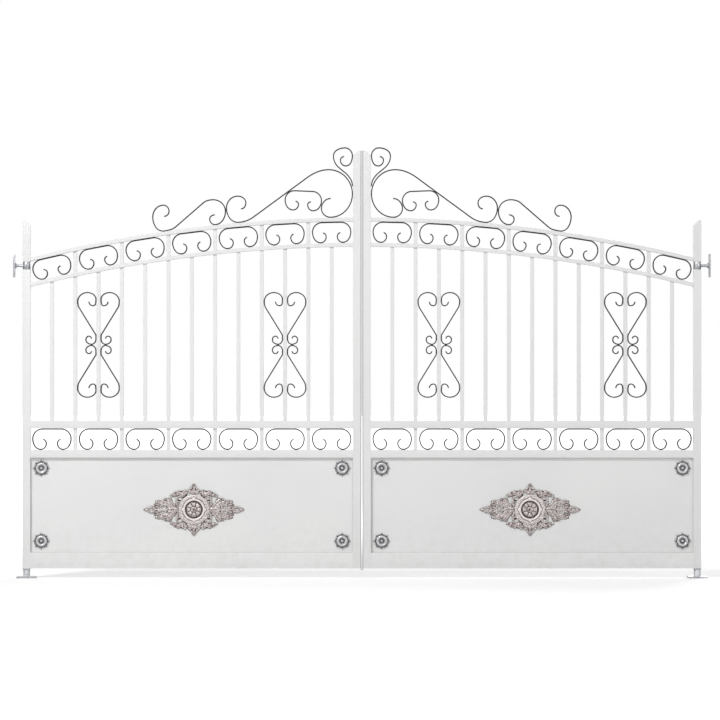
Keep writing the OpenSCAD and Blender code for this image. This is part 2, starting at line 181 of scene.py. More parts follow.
def rounded_copy(node, body, material, slot, corner, segments=2):
    """A CAD solid as one closed mesh with its corners rounded; it stands for that solid."""
    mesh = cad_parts[node].data.copy()
    solid = bmesh.new()
    solid.from_mesh(mesh)
    bmesh.ops.remove_doubles(solid, verts=solid.verts, dist=1e-5)
    bmesh.ops.dissolve_limit(solid, angle_limit=radians(0.6),
                             verts=solid.verts, edges=solid.edges)
    for face in solid.faces:
        face.smooth = True
        face.material_index = 0
    solid.to_mesh(mesh)
    solid.free()
    mesh.materials.clear()
    mesh.materials.append(material)
    piece = new_piece(node + "_coated", mesh)
    bevel = piece.modifiers.new("corner", "BEVEL")
    bevel.width = corner
    bevel.segments = segments
    bevel.limit_method = "ANGLE"
    bevel.angle_limit = radians(28)
    bevel.harden_normals = True
    cut = piece.modifiers.new("cut_faces", "TRIANGULATE")
    cut.min_vertices = 5
    cut.keep_custom_normals = True
    fixed(piece, body, slot, node)


tube_corner = 0.00095      # just under half the 2 mm wall, which the cut ends allow

for side in SIDES:
    for tube in ("hinge_stile", "meeting_stile", "bottom_rail", "panel_rail", "mid_rail"):
        rounded_copy(f"{side}_{tube}", f"{side}_leaf", white_coat, "white_coat",
                     tube_corner, 3)


# ---- Arch rails ----
# Two tubes 20 mm high, rolled to the same 7.2 m radius, welded between the stiles. A tree
# sweeps a rounded section along each one's centre line.

def new_tree(name, **sizes):
    """A node tree whose inputs are a geometry and the named sizes."""
    tree = bpy.data.node_groups.new(name, "GeometryNodeTree")
    tree.interface.new_socket("Geometry", in_out="INPUT", socket_type="NodeSocketGeometry")
    for label, value in sizes.items():
        kind = "Int" if isinstance(value, int) else "Float"
        tree.interface.new_socket(label, in_out="INPUT",
                                  socket_type="NodeSocket" + kind).default_value = value
    tree.interface.new_socket("Finish", in_out="INPUT", socket_type="NodeSocketMaterial")
    tree.interface.new_socket("Geometry", in_out="OUTPUT", socket_type="NodeSocketGeometry")
    return tree, tree.nodes.new("NodeGroupInput").outputs


def end_tree(tree, sizes, geometry):
    """Realizes, shades smooth and colours the tree's result."""
    real = add(tree, "GeometryNodeRealizeInstances", {0: geometry})
    smooth = add(tree, "GeometryNodeSetShadeSmooth", {"Geometry": real})
    coloured = add(tree, "GeometryNodeSetMaterial",
                   {"Geometry": smooth, "Material": sizes["Finish"]})
    add(tree, "NodeGroupOutput", {0: coloured})


def grown(tree, name, mesh, **sizes):
    """Runs a tree once on a mesh and keeps the result as a plain mesh object."""
    holder = new_piece(name, mesh)
    maker = holder.modifiers.new("make", "NODES")
    maker.node_group = tree
    for socket in tree.interface.items_tree:
        if socket.in_out == "INPUT" and socket.name in sizes:
            maker[socket.identifier] = sizes[socket.name]
    holder.update_tag()
    result = bpy.data.meshes.new_from_object(
        holder.evaluated_get(bpy.context.evaluated_depsgraph_get()))
    holder.modifiers.clear()
    bpy.data.objects.remove(holder)
    return new_piece(name, result)


def flat_shaded(piece):
    """Keeps flat faces flat beside their rounded corners."""
    normals = piece.modifiers.new("flats", "WEIGHTED_NORMAL")
    normals.keep_sharp = True
    normals.weight = 80


def plain_mesh(name, points, edges=(), faces=()):
    mesh = bpy.data.meshes.new(name)
    mesh.from_pydata(points, edges, faces)
    return mesh


def wires(name, lines):
    """A mesh of bare edges through each line's (x, z) points, laid in the XY plane."""
    points, edges = [], []
    for line in lines:
        start = len(points)
        points += [(x, z, 0) for x, z in line]
        edges += [(k, k + 1) for k in range(start, len(points) - 1)]
    return plain_mesh(name, points, edges)


def rounded_section(tree, width, height, corner, count):
    box = add(tree, "GeometryNodeCurvePrimitiveQuadrilateral",
              {"Width": width, "Height": height}, mode="RECTANGLE")
    return add(tree, "GeometryNodeFilletCurve",
               {"Curve": box, "Radius": corner, "Count": count}, mode="POLY")


def swept(tree, path, section):
    return add(tree, "GeometryNodeCurveToMesh",
               {"Curve": path, "Profile Curve": section, "Fill Caps": True})


bent_bar, sizes = new_tree("bent_bar", Thickness=0.006, Depth=0.02, Corner=0.0008)
section = rounded_section(bent_bar, sizes["Thickness"], sizes["Depth"], sizes["Corner"], 2)
path = add(bent_bar, "GeometryNodeMeshToCurve", {0: sizes["Geometry"]})
path = add(bent_bar, "GeometryNodeSetCurveNormal", {0: path}, mode="Z_UP")
upright = add(bent_bar, "GeometryNodeTransform",
              {"Geometry": swept(bent_bar, path, section), "Rotation": (pi / 2, 0, 0)})
end_tree(bent_bar, sizes, upright)

arch_steps = 60

for side, way in SIDES.items():
    for rail, centre in (("upper", upper_centre), ("lower", lower_centre)):
        line = []
        for k in range(arch_steps + 1):
            x = infill_start + (infill_end - infill_start) * k / arch_steps
            line.append((centre_x + way * x, on_arch(centre, arch_r - arch_rail_h / 2, x)))
        piece = grown(bent_bar, f"{side}_{rail}_arch_tube", wires("arch_line", [line]),
                      Thickness=arch_rail_h, Depth=2 * frame_half, Corner=0.0022,
                      Finish=white_coat)
        flat_shaded(piece)
        fixed(piece, f"{side}_leaf", "white_coat", f"{side}_{rail}_arch_rail")


# ---- Bars ----
# Square tube 20 mm, evenly spaced. Long bars run from the panel rail to the upper arch
# through punched holes, short ones from the mid rail to the lower arch.

def arch_fall(tree, sizes, x):
    """How far an arch lies, at x, from its top in the middle; it counts downwards below 0."""
    off = maths(tree, "SUBTRACT", x, sizes["Centre"])
    inner = maths(tree, "SUBTRACT", maths(tree, "MULTIPLY", sizes["Radius"], sizes["Radius"]),
                  maths(tree, "MULTIPLY", off, off))
    return maths(tree, "SUBTRACT", maths(tree, "SQRT", inner), sizes["Radius"])


def row_of(tree, sizes, shape, **turn):
    """Copies of a shape in a row along x, and the x, y and z of each of their points."""
    start, step = (add(tree, "ShaderNodeCombineXYZ", {0: sizes[size]})
                   for size in ("First", "Pitch"))
    row = add(tree, "GeometryNodeMeshLine",
              {"Count": sizes["Count"], "Start Location": start, "Offset": step},
              mode="OFFSET")
    copies = add(tree, "GeometryNodeInstanceOnPoints",
                 {"Points": row, "Instance": shape, **turn})
    spot = add(tree, "ShaderNodeSeparateXYZ", {0: add(tree, "GeometryNodeInputPosition")})
    return add(tree, "GeometryNodeRealizeInstances", {0: copies}), spot.node.outputs


bar_row, sizes = new_tree("bar_row", Count=6, First=0.0, Pitch=0.1, Bottom=0.0, Top=1.0,
                          Centre=0.0, Radius=7.0, Side=0.02, Corner=0.001)
section = rounded_section(bar_row, sizes["Side"], sizes["Side"], sizes["Corner"], 3)
rise = add(bar_row, "GeometryNodeCurvePrimitiveLine", {"Start": (0, 0, 0), "End": (0, 0, 1)})
bars, spot = row_of(bar_row, sizes, swept(bar_row, rise, section))
top = maths(bar_row, "ADD", sizes["Top"], arch_fall(bar_row, sizes, spot[0]))
span = maths(bar_row, "SUBTRACT", top, sizes["Bottom"])
lift = maths(bar_row, "ADD", maths(bar_row, "MULTIPLY", span, spot[2]), sizes["Bottom"])
place = add(bar_row, "ShaderNodeCombineXYZ", {0: spot[0], 1: spot[1], 2: lift})
end_tree(bar_row, sizes,
         add(bar_row, "GeometryNodeSetPosition", {"Geometry": bars, "Position": place}))

bar_side = 0.02
bar_corner = 0.002
bar_seat = 0.0003
short_count = 7
long_count = 6


def bar_places(node, count):
    """First bar's middle and the pitch, from the CAD bars' own box."""
    low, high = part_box(node)
    first = low.x + bar_side / 2
    return {"Count": count, "First": first,
            "Pitch": (high.x - bar_side / 2 - first) / (count - 1)}


for side in SIDES:
    for bars, count, rail_centre in (("long_bars", long_count, upper_centre),
                                     ("short_bars", short_count, lower_centre)):
        node = f"{side}_{bars}"
        piece = grown(bar_row, f"{node}_tubes", bpy.data.meshes.new("bars"),
                      **bar_places(node, count), Bottom=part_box(node)[0].z,
                      Top=rail_centre + under_r - bar_seat, Centre=centre_x,
                      Radius=under_r, Side=bar_side, Corner=bar_corner, Finish=white_coat)
        flat_shaded(piece)
        fixed(piece, f"{side}_leaf", "white_coat", node)


# ---- Weld fillets round the bars ----
# A 3 mm fillet weld runs round each bar where it meets or passes a rail. It was coated
# with the frame.

def fillet_ring(half, leg):
    """A closed ring round a square bar, standing on z = 0, hollowed towards its corner."""
    profile = [(leg, 0), (0.42 * leg, 0.12 * leg), (0.12 * leg, 0.42 * leg), (0, leg), (0, 0)]
    points = []
    for out, up in profile:
        round_r = out + bar_corner
        flat = half + out - round_r
        for corner, (sx, sy) in enumerate(((1, 1), (-1, 1), (-1, -1), (1, -1))):
            for turn in (corner * 90, corner * 90 + 45, corner * 90 + 90):
                points.append((sx * flat + round_r * cos(radians(turn)),
                               sy * flat + round_r * sin(radians(turn)), up))
    around = len(points) // len(profile)
    faces = []
    for r in range(len(profile)):
        a, b = r * around, (r + 1) % len(profile) * around
        for k in range(around):
            n = (k + 1) % around
            faces.append((a + k, a + n, b + n, b + k))
    return plain_mesh("ring", points, (), faces)


ring_row, sizes = new_tree("ring_row", Count=6, First=0.0, Pitch=0.1, Top=1.0, Centre=0.0,
                           Radius=7.0, Curved=1.0, Turn=0.0)
over = add(ring_row, "ShaderNodeCombineXYZ", {0: sizes["Turn"]})
rings, spot = row_of(ring_row, sizes, sizes["Geometry"], Rotation=over)
fall = maths(ring_row, "MULTIPLY", arch_fall(ring_row, sizes, spot[0]), sizes["Curved"])
shift = add(ring_row, "ShaderNodeCombineXYZ", {2: maths(ring_row, "ADD", sizes["Top"], fall)})
end_tree(ring_row, sizes,
         add(ring_row, "GeometryNodeSetPosition", {"Geometry": rings, "Offset": shift}))


def joined(pieces, name):
    """Several plain mesh objects as one."""
    whole = bmesh.new()
    for piece in pieces:
        whole.from_mesh(piece.data)
    mesh = bpy.data.meshes.new(name)
    whole.to_mesh(mesh)
    whole.free()
    mesh.materials.append(pieces[0].data.materials[0])
    for piece in pieces:
        bpy.data.objects.remove(piece)
    return new_piece(name, mesh)


fillet_leg = 0.003

for side in SIDES:
    mid_low, mid_high = (corner.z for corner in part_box(f"{side}_mid_rail"))
    # (top in the middle, radius or 0 for a level rail, whether the ring hangs from it)
    under_lower = (lower_centre + under_r, under_r, True)
    rings = []
    for bars, count, rows in (
            ("long_bars", long_count,
             [(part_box(f"{side}_panel_rail")[1].z, 0, False), (mid_low, 0, True),
              (mid_high, 0, False), under_lower, (lower_centre + arch_r, arch_r, False),
              (upper_centre + under_r, under_r, True)]),
            ("short_bars", short_count, [(mid_high, 0, False), under_lower])):
        for top, radius, hangs in rows:
            rings.append(grown(ring_row, "ring", fillet_ring(bar_side / 2, fillet_leg),
                               **bar_places(f"{side}_{bars}", count), Top=top,
                               Centre=centre_x, Radius=radius or arch_r,
                               Curved=1.0 if radius else 0.0,
                               Turn=pi if hangs else 0.0, Finish=white_coat))
    fixed(joined(rings, f"{side}_bar_fillets"), f"{side}_leaf", "white_coat")


# ---- Weld beads at the rail ends ----
# Each rail is welded to the stiles along its upper and lower edges, in a row of small
# overlapping beads laid by hand. The edge that comes down to the hinge's collar has none.

bead_run, sizes = new_tree("bead_run", Spacing=0.0028, Bead=0.0024, Seed=3)
run = add(bead_run, "GeometryNodeMeshToCurve", {0: sizes["Geometry"]})
run = add(bead_run, "GeometryNodeResampleCurve",
          {"Curve": run, "Length": sizes["Spacing"]}, mode="LENGTH")
bead = add(bead_run, "GeometryNodeMeshIcoSphere", {"Radius": sizes["Bead"], "Subdivisions": 2})
lump = add(bead_run, "FunctionNodeRandomValue",
           {"Min": (0.86, 0.92, 0.84), "Max": (1.1, 1.2, 1.1), "Seed": sizes["Seed"]},
           data_type="FLOAT_VECTOR")
end_tree(bead_run, sizes, add(bead_run, "GeometryNodeInstanceOnPoints",
                              {"Points": run, "Instance": bead, "Scale": lump}))


def edge_lines(name, lines):
    """A mesh of bare edges, one for each pair of points."""
    return plain_mesh(name, [p for line in lines for p in line],
                      [(2 * k, 2 * k + 1) for k in range(len(lines))])


weld_off = 0.0006
weld_inset = 0.003

for side, way in SIDES.items():
    lines = []
    collar_low, collar_high = (corner.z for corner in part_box(f"{side}_collar"))
    for along, into in ((infill_start, 1), (infill_end, -1)):
        x = centre_x + way * (along + into * weld_off)
        edges = []
        for rail in ("bottom_rail", "panel_rail", "mid_rail"):
            low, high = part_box(f"{side}_{rail}")
            edges += [(high.z, 1)] + ([(low.z, -1)] if rail != "bottom_rail" else [])
        for centre in (upper_centre, lower_centre):
            edges += [(on_arch(centre, arch_r, along), 1), (on_arch(centre, under_r, along), -1)]
        reach = frame_half - weld_inset
        lines += [((x, -reach, z), (x, reach, z)) for z in (e + up * weld_off for e, up in edges)
                  if not collar_low - weld_inset < z < collar_high + weld_inset]
    piece = grown(bead_run, f"{side}_rail_welds", edge_lines("runs", lines),
                  Spacing=0.0028, Bead=0.0026, Seed=3, Finish=white_coat)
    fixed(piece, f"{side}_leaf", "white_coat")


# ---- Black powder coat ----
# The scrolls are coated a fine-textured matt black before they go on. Their upper
# surfaces hold a trace of dust.

black_coat, tree, shader, place = finish_named("black_powder_coat")
shade = spread(tree, spots(tree, place, 14, 3), 0.35, 0.65, 0, 1)
coat = tint(tree, shade, (0.011, 0.011, 0.012), (0.017, 0.017, 0.018))
ledge = spread(tree, facing_up(tree), 0.5, 1.0, 0, 0.16)
film = spread(tree, spots(tree, place, 90, 4, 0.6), 0.35, 0.75, 0, 1)
dress(tree, shader,
      tint(tree, maths(tree, "MULTIPLY", ledge, film), coat, (0.22, 0.21, 0.19)),
      spread(tree, spots(tree, place, 60, 3), 0.3, 0.7, 0.42, 0.58),
      [(spots(tree, place, 1100, 2), 0.0002, 0.4)])


# ---- Scrolls ----
# Flat bar 6 x 20 mm, bent cold on a jig and tacked in place on edge. Each scroll follows
# pairs of arcs through stations given as (x, height, heading in degrees), in millimetres.

scroll_t = 0.006
scroll_d = 0.02
touch = 3.3                # from a face to the middle of a scroll that touches it


def arc_points(p, heading, q):
    """Points of the arc that leaves p with a heading and passes through q."""
    along = Vector((cos(heading), sin(heading)))
    left = Vector((-along.y, along.x))
    side = (q - p).dot(left)
    turn = 2 * atan2(side, (q - p).dot(along))
    if abs(turn) < 0.004:
        return [(q, heading)]
    r = (q - p).length_squared / (2 * side)
    middle = p + r * left
    count = max(2, ceil(abs(turn) / radians(6)))
    angles = [heading + turn * k / count for k in range(1, count + 1)]
    return [(middle - r * Vector((-sin(a), cos(a))), a) for a in angles]


def scroll_line(stations):
    """A smooth line through the stations, two arcs from each to the next."""
    x, z, heading = stations[0]
    line = [(Vector((x, z)), radians(heading))]
    for x, z, heading in stations[1:]:
        p, a = line[-1]
        q, b = Vector((x, z)), radians(heading)
        u, w = (Vector((cos(t), sin(t))) for t in (a, b))
        v = q - p
        bend, go = 2 * (1 - u.dot(w)), v.dot(u + w)
        if bend < 0.001:
            reach = v.dot(v) / (2 * go)
        else:
            reach = (sqrt(go * go + bend * v.dot(v)) - go) / bend
        line += arc_points(p, a, (p + q + reach * (u - w)) / 2)
        line += arc_points(line[-1][0], line[-1][1], q)
    return [point for point, _ in line]


def turned_over(stations):
    return [(-x, z, -a) for x, z, a in reversed(stations)]


def moved(stations, x, z, turn):
    c, s = cos(radians(turn)), sin(radians(turn))
    return [(x + u * c - v * s, z + u * s + v * c, a + turn) for u, v, a in stations]


def c_scroll(w, h, r):
    """A C-scroll, flat side up, of half width w, half height h and lobe radius r."""
    half = [(w - r, h, 0), (w, h - r, -90), (w - 42, -h, -180), (w - 70, 30 - h, -270),
            (w - 54, h - 53.5, -350)]
    return turned_over(half) + half


def on_leaf(way, line):
    """Points in millimetres on a leaf, as (x, z) on the gate in metres."""
    return [(centre_x + way * p.x / 1000, leaf_z + p.y / 1000) for p in line]


def scrolls(side, way, lines, name):
    piece = grown(bent_bar, f"{side}_{name}_bars",
                  wires("scroll_lines", [on_leaf(way, line) for line in lines]),
                  Thickness=scroll_t, Depth=scroll_d, Corner=0.0009, Finish=black_coat)
    flat_shaded(piece)
    fixed(piece, f"{side}_leaf", "black_coat", f"{side}_{name}")


start_mm, end_mm = infill_start * 1000, infill_end * 1000
bar_mm = bar_side * 1000
bar_count = short_count + long_count
bar_gap = (end_mm - start_mm - bar_count * bar_mm) / (bar_count + 1)
bay = 2 * bar_gap + bar_mm
frieze_low = (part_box("left_panel_rail")[1].z - leaf_z) * 1000
frieze_high = (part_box("left_mid_rail")[0].z - leaf_z) * 1000
bay_middles = [start_mm + bay / 2 + k * (bay + bar_mm) for k in range(short_count)]
side_gap = 8.5             # between a C-scroll and the long bars beside it
half_w = bay / 2 - side_gap - scroll_t * 500
r_mm, under_mm = arch_r * 1000, under_r * 1000
upper_mm, lower_mm = (upper_centre - leaf_z) * 1000, (lower_centre - leaf_z) * 1000

frieze_lines, arch_lines = [], []
arch_seat = 0.25           # keeps the tilted scrolls clear of the rails' curve
for x in bay_middles:
    half_h = (frieze_high - frieze_low) / 2 - touch
    frieze_lines.append(scroll_line(
        moved(c_scroll(half_w, half_h, 50), x, (frieze_low + frieze_high) / 2, 0)))
    z = (on_arch(upper_mm, under_mm, x) + on_arch(lower_mm, r_mm, x)) / 2
    clear = min(under_mm - hypot(x, z - upper_mm), hypot(x, z - lower_mm) - r_mm)
    half_h = clear - touch - arch_seat
    arch_lines.append(scroll_line(
        moved(c_scroll(half_w, half_h, half_h - 2), x, z, -degrees(asin(x / r_mm)))))


# ---- Heart scrolls ----
# Four S-scrolls sit round a short bar, mirrored both ways, and make two hearts point to
# point. They touch the short bar and the long bar beside it.

heart_z = 1152
heart_top, heart_side, heart_low, heart_waist = 234, 224, 30, 26     # where they touch
outer = bar_gap - touch
heart_s = [(39, 223, -90), (18, 202, -180), (touch, heart_top, -270), (47.6, 270, -360),
           (outer, heart_side, -450), (89, 190, -481.6), (6.5, 56, -481.6),
           (touch, heart_low, -450), (heart_waist, touch, -360), (55, 27, -270),
           (39, 45, -180), (26, 32.5, -100)]
heart_middles = [start_mm + i * bar_gap + (i - 0.5) * bar_mm for i in (3, bar_count - 2)]

heart_lines = []
for x in heart_middles:
    for across in (-1, 1):
        for up in (-1, 1):
            heart_lines.append([Vector((x + across * (bar_mm / 2 + p.x), heart_z + up * p.y))
                                for p in scroll_line(heart_s)])


# ---- Crown scrolls ----
# Two long S-scrolls, a small C-scroll and a double curl stand on the upper arch beside the
# meeting stile. Their stations count from the stile and from the arch below them.

def crown(stations):
    return [(start_mm + x, on_arch(upper_mm, r_mm, start_mm + x) + z, a)
            for x, z, a in stations]


def foot(x, a):
    return (x, touch, a - degrees(asin((start_mm + x) / r_mm)))


crown_feet = (115, 589, 709.3, 974.3)
stile_touches = (122, 163, 319)
large_s = [(578, 72, 180), (553, 100, 90), (595, 139, 0), (653, 83, -90), foot(589, -180),
           (516, 23, -216.3), (234, 213.4, -216.3), (125, 249, -180), (touch, 122, -90),
           foot(115, 0), (163, 50, 90), (115, 100, 180)]
small_s = [(974.3, 79, 180), (949.3, 102, 90), (978.3, 137, 0), (1033.3, 84, -90),
           foot(974.3, -180), (914.3, 17, -221), (773.3, 122, -221), (721.3, 133, -180),
           (658.3, 66, -90), foot(709.3, 0), (739.3, 35, 90), (713.3, 54, 180)]
top_curl = [(46, 315, 0), (65, 297, -90), (38, 267, -180), (touch, 319, -270),
            (42, 360, -360), (101, 318, -450), (72, 258, -500), (38, 229.5, -500),
            (touch, 163, -450)]
inner_x, inner_z, _ = crown([(256.6, 93.2, 0)])[0]
inner_c = moved(c_scroll(93.6, 49.6, 47.5), inner_x, inner_z, 2.3)
crown_lines = [scroll_line(s) for s in
               (crown(large_s), crown(small_s), crown(top_curl), inner_c)]

for side, way in SIDES.items():
    for lines, name in ((frieze_lines, "frieze"), (arch_lines, "arch"),
                        (heart_lines, "heart"), (crown_lines, "crown")):
        scrolls(side, way, lines, name + "_scrolls")


# ---- Scroll tacks ----
# Each scroll is held by short tacks where it touches a rail, a bar, the stile or another
# scroll. They are small flattened lumps, coated black with the scrolls.

tack_set, sizes = new_tree("tack_set", Long=0.005, Thin=0.0016, Deep=0.006, Seed=5)
ball = add(tack_set, "GeometryNodeMeshIcoSphere", {"Radius": 1.0, "Subdivisions": 2})
stretch = add(tack_set, "ShaderNodeCombineXYZ",
              {0: sizes["Long"], 1: sizes["Deep"], 2: sizes["Thin"]})
ball = add(tack_set, "GeometryNodeTransform", {"Geometry": ball, "Scale": stretch})
lean = add(tack_set, "GeometryNodeInputNamedAttribute", {"Name": "lean"}, data_type="FLOAT")
lean_xyz = add(tack_set, "ShaderNodeCombineXYZ", {1: lean})
uneven = add(tack_set, "FunctionNodeRandomValue",
             {"Min": (0.85, 0.9, 0.85), "Max": (1.15, 1.1, 1.1), "Seed": sizes["Seed"]},
             data_type="FLOAT_VECTOR")
points = add(tack_set, "GeometryNodeMeshToPoints", {0: sizes["Geometry"]})
end_tree(tack_set, sizes, add(tack_set, "GeometryNodeInstanceOnPoints",
                              {"Points": points, "Instance": ball,
                               "Rotation": lean_xyz, "Scale": uneven}))


def tack_points(name, tacks):
    """A mesh of bare points, each with the lean of the face it is laid on."""
    mesh = plain_mesh(name, [(x, 0, z) for x, z, _ in tacks])
    lean = mesh.attributes.new("lean", "FLOAT", "POINT")
    lean.data.foreach_set("value", [a for _, _, a in tacks])
    return mesh


flat_tack = 46             # from a C-scroll's middle to the tacks on its flat side
lobe_tack = 1.235 * flat_tack
tack_dip = 0.2

leaf_tacks = []
for x in bay_middles:
    tilt = asin(x / r_mm)
    for off in (-1, 1):
        leaf_tacks.append((x + off * flat_tack, frieze_high - tack_dip, 0))
        leaf_tacks.append((x + off * lobe_tack, frieze_low + tack_dip, 0))
        for centre, radius, out in ((upper_mm, under_mm, flat_tack),
                                    (lower_mm, r_mm, lobe_tack)):
            px = x + off * out * cos(tilt)
            leaf_tacks.append((px, on_arch(centre, radius, px), -tilt))
for x in heart_middles:
    for across in (-1, 1):
        face = x + across * bar_mm / 2
        for up in (-1, 1):
            for px, off in ((face, heart_top), (face, heart_low),
                            (face + across * bar_gap, heart_side)):
                leaf_tacks.append((px, heart_z + up * off, pi / 2))
        leaf_tacks.append((face + across * heart_waist, heart_z, 0))
for x in crown_feet:
    px, pz, _ = crown([(x, 0, 0)])[0]
    leaf_tacks.append((px, pz, -asin(px / r_mm)))
for z in stile_touches:
    leaf_tacks.append((start_mm, crown([(0, z, 0)])[0][1], pi / 2))

for side, way in SIDES.items():
    places = [(centre_x + way * x / 1000, leaf_z + z / 1000, -way * a)
              for x, z, a in leaf_tacks]
    piece = grown(tack_set, f"{side}_scroll_tacks", tack_points("tacks", places),
                  Long=0.0052, Thin=0.0014, Deep=0.0075, Seed=5, Finish=black_coat)
    fixed(piece, f"{side}_leaf", "black_coat")


# ---- Panel ----
# A flat 3 mm sheet closes the bottom of each leaf. It sits in the middle of the frame's
# depth, and a bead of white sealant runs round it, front and back.

sealant, tree, shader, place = finish_named("sealant_white")
tone = spread(tree, spots(tree, place, 30, 3), 0.35, 0.7, 0, 1)
dress(tree, shader, tint(tree, tone, (0.66, 0.655, 0.63), (0.56, 0.55, 0.52)),
      spread(tree, spots(tree, place, 70, 2), 0.3, 0.7, 0.55, 0.7),
      [(spots(tree, place, 160, 2), 0.0004, 0.4)])

sealant_run, sizes = new_tree("sealant_run", Bead=0.0035)
run = add(sealant_run, "GeometryNodeMeshToCurve", {0: sizes["Geometry"]})
ring = add(sealant_run, "GeometryNodeCurvePrimitiveCircle",
           {"Radius": sizes["Bead"], "Resolution": 10})
end_tree(sealant_run, sizes, swept(sealant_run, run, ring))

for side in SIDES:
    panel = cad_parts[f"{side}_panel"]
    panel.material_slots[0].material = white_coat
    low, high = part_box(f"{side}_panel")
    lines = []
    for y in (low.y, high.y):
        corners = [(low.x, y, low.z), (high.x, y, low.z), (high.x, y, high.z),
                   (low.x, y, high.z)]
        lines += [(corners[k], corners[(k + 1) % 4]) for k in range(4)]
    piece = grown(sealant_run, f"{side}_panel_sealant", edge_lines("sealant", lines),
                  Bead=0.003, Finish=sealant)
    fixed(piece, f"{side}_leaf", "white_coat")


# ---- Rosettes ----
# Cast aluminium flowers, one in each corner of the panel: a domed eye in a bowl, a raised
# ring with slanted flutes, and sixteen leaf tips, each with a boss.

def cast_metal(name, light, middle, dark, metallic):
    """Sand-cast metal; a stored attribute darkens what polishing doesn't reach, as a dark wash,
    and also carries painted highlights and painted shade.
    """
    material, tree, shader, place = finish_named(name)
    wash_and_painted_light = add(tree, "ShaderNodeAttribute", out="Fac", attribute_name="wash_and_painted_light")
    mottle = spread(tree, spots(tree, place, 120, 4, 0.6), 0.3, 0.7, -0.09, 0.09)
    level = maths(tree, "ADD", wash_and_painted_light, mottle)
    bright = spread(tree, level, 0.40, 0.54, 0, 1)
    deep = spread(tree, level, 0.52, 0.72, 0, 1)
    dress(tree, shader, tint(tree, deep, tint(tree, bright, light, middle), dark),
          spread(tree, level, 0.42, 0.66, 0.32, 0.72),
          [(spots(tree, place, 900, 3), 0.0003, 0.35),
           (spots(tree, place, 160, 2), 0.0006, 0.2)], metallic)
    return material


def mark_wash_and_painted_light(mesh, highlight_and_darkening):
    """Stores how far the surface curves inwards at each point, 0.5 flat and more deeper, which
    darkens it as a dark wash.
    rubbed(place) lightens a spot beyond that, as a painted highlight, and darkens it where
    negative, which on the rosettes is painted shade. Outer corners count little."""
    shape = bmesh.new()
    shape.from_mesh(mesh)
    shape.normal_update()
    values = {}
    for v in shape.verts:
        bends = [v.normal.dot((e.other_vert(v).co - v.co).normalized())
                 for e in v.link_edges]
        values[v.index] = sum(bends) / len(bends) if bends else 0.0
    for _ in range(2):
        values = {v.index: (values[v.index] + sum(values[e.other_vert(v).index]
                                                  for e in v.link_edges))
                  / (1 + len(v.link_edges)) for v in shape.verts}
    shape.free()
    store = mesh.attributes.new("wash_and_painted_light", "FLOAT", "POINT")
    store.data.foreach_set("value", [
        min(1, max(0, 0.5 + max(-0.09, 1.5 * values[v.index]) - highlight_and_darkening(v.co)))
        for v in mesh.vertices])


def casting(side, name, mesh, metal, highlight_and_darkening, slot, node):
    """Finishes a casting's mesh as a piece on the leaf, in place of its CAD node."""
    mesh.polygons.foreach_set("use_smooth", [True] * len(mesh.polygons))
    mesh.materials.append(metal)
    mark_wash_and_painted_light(mesh, highlight_and_darkening)
    fixed(new_piece(f"{side}_{name}", mesh), f"{side}_leaf", slot, f"{side}_{node}")


def steps(r, table):
    """Height at r from (radius, height) pairs, eased between them."""
    for (r0, h0), (r1, h1) in zip(table, table[1:]):
        if r <= r1:
            t = (r - r0) / (r1 - r0)
            return h0 + (h1 - h0) * (3 * t * t - 2 * t ** 3)
    return table[-1][1]


def disc(edge, height, around, outward):
    """A closed round casting: edge(angle) is its radius, height(r, angle, share) its face."""
    points, faces = [(0, height(0, 0, 0), 0)], []
    for k in range(1, outward + 1):
        for j in range(around):
            a = 2 * pi * j / around
            r = edge(a) * k / outward
            points.append((r * cos(a), height(r, a, k / outward), r * sin(a)))
    rim = len(points)
    for j in range(around):
        x, _, z = points[rim - around + j]
        points.append((x, 0, z))
    points.append((0, 0, 0))
    for j in range(around):
        n = (j + 1) % around
        faces.append((0, 1 + j, 1 + n))
        for k in range(outward):
            a, b = 1 + k * around, 1 + (k + 1) * around
            faces.append((a + j, b + j, b + n, a + n))
        faces.append((rim + j, len(points) - 1, rim + n))
    return points, faces


def rosette_edge(a):
    lobe = 0.5 + 0.5 * cos(16 * a)
    tip = 44 if cos(8 * a) > 0 else 39.5
    if abs(cos(4 * a)) < 0.5 and cos(8 * a) > 0:
        tip = 43
    return 34.2 + (tip - 34.2) * lobe ** 0.6


def rosette_face(r, a, share):
    leaf = 2 * pi / 16
    ring = steps(r, [(0, 11.6), (4, 10.8), (7.5, 7.4), (11, 5.2), (15, 6.6), (19.5, 10.8),
                     (22.5, 11.6), (25, 10.6), (29.5, 7.0), (33, 5.4), (45, 4.2)])
    swirl = 0.55 * cos(8 * a + 0.28 * r) * max(0, 1 - abs(r - 14) / 6)
    flute = 0.7 * cos(16 * a + 0.05 * r) * max(0, 1 - abs(r - 28) / 5)
    boss_r = rosette_edge(round(a / leaf) * leaf) - 5.2
    off = (a / leaf + 0.5) % 1 - 0.5
    away = hypot(r - boss_r, off * leaf * r)
    boss = 2.6 * sqrt(max(0, 1 - (away / 4.4) ** 2))
    groove = -0.9 * max(0, 1 - abs(away - 5.2) / 1.2) if r > 30 else 0
    edge = -1.2 * max(0, (share - 0.94) / 0.06)
    return min(11.9, max(1.2, ring + swirl + flute + boss + groove + edge))


rosette_grey = cast_metal("cast_aluminium", (0.60, 0.60, 0.61), (0.36, 0.36, 0.37),
                          (0.07, 0.07, 0.075), 0.55)
rosette_r = 0.044
rosette_points, rosette_faces = disc(rosette_edge, rosette_face, 160, 34)


def rosette_highlight_and_shade(r):
    """The raised ring and, more weakly, the eye are lightened as a painted highlight; the leaf
    tips and the bowl are darkened as painted shade.
    """
    return 0.12 if 16 < r < 27 else -0.1 if 29 < r or 6 < r < 14 else 0.04


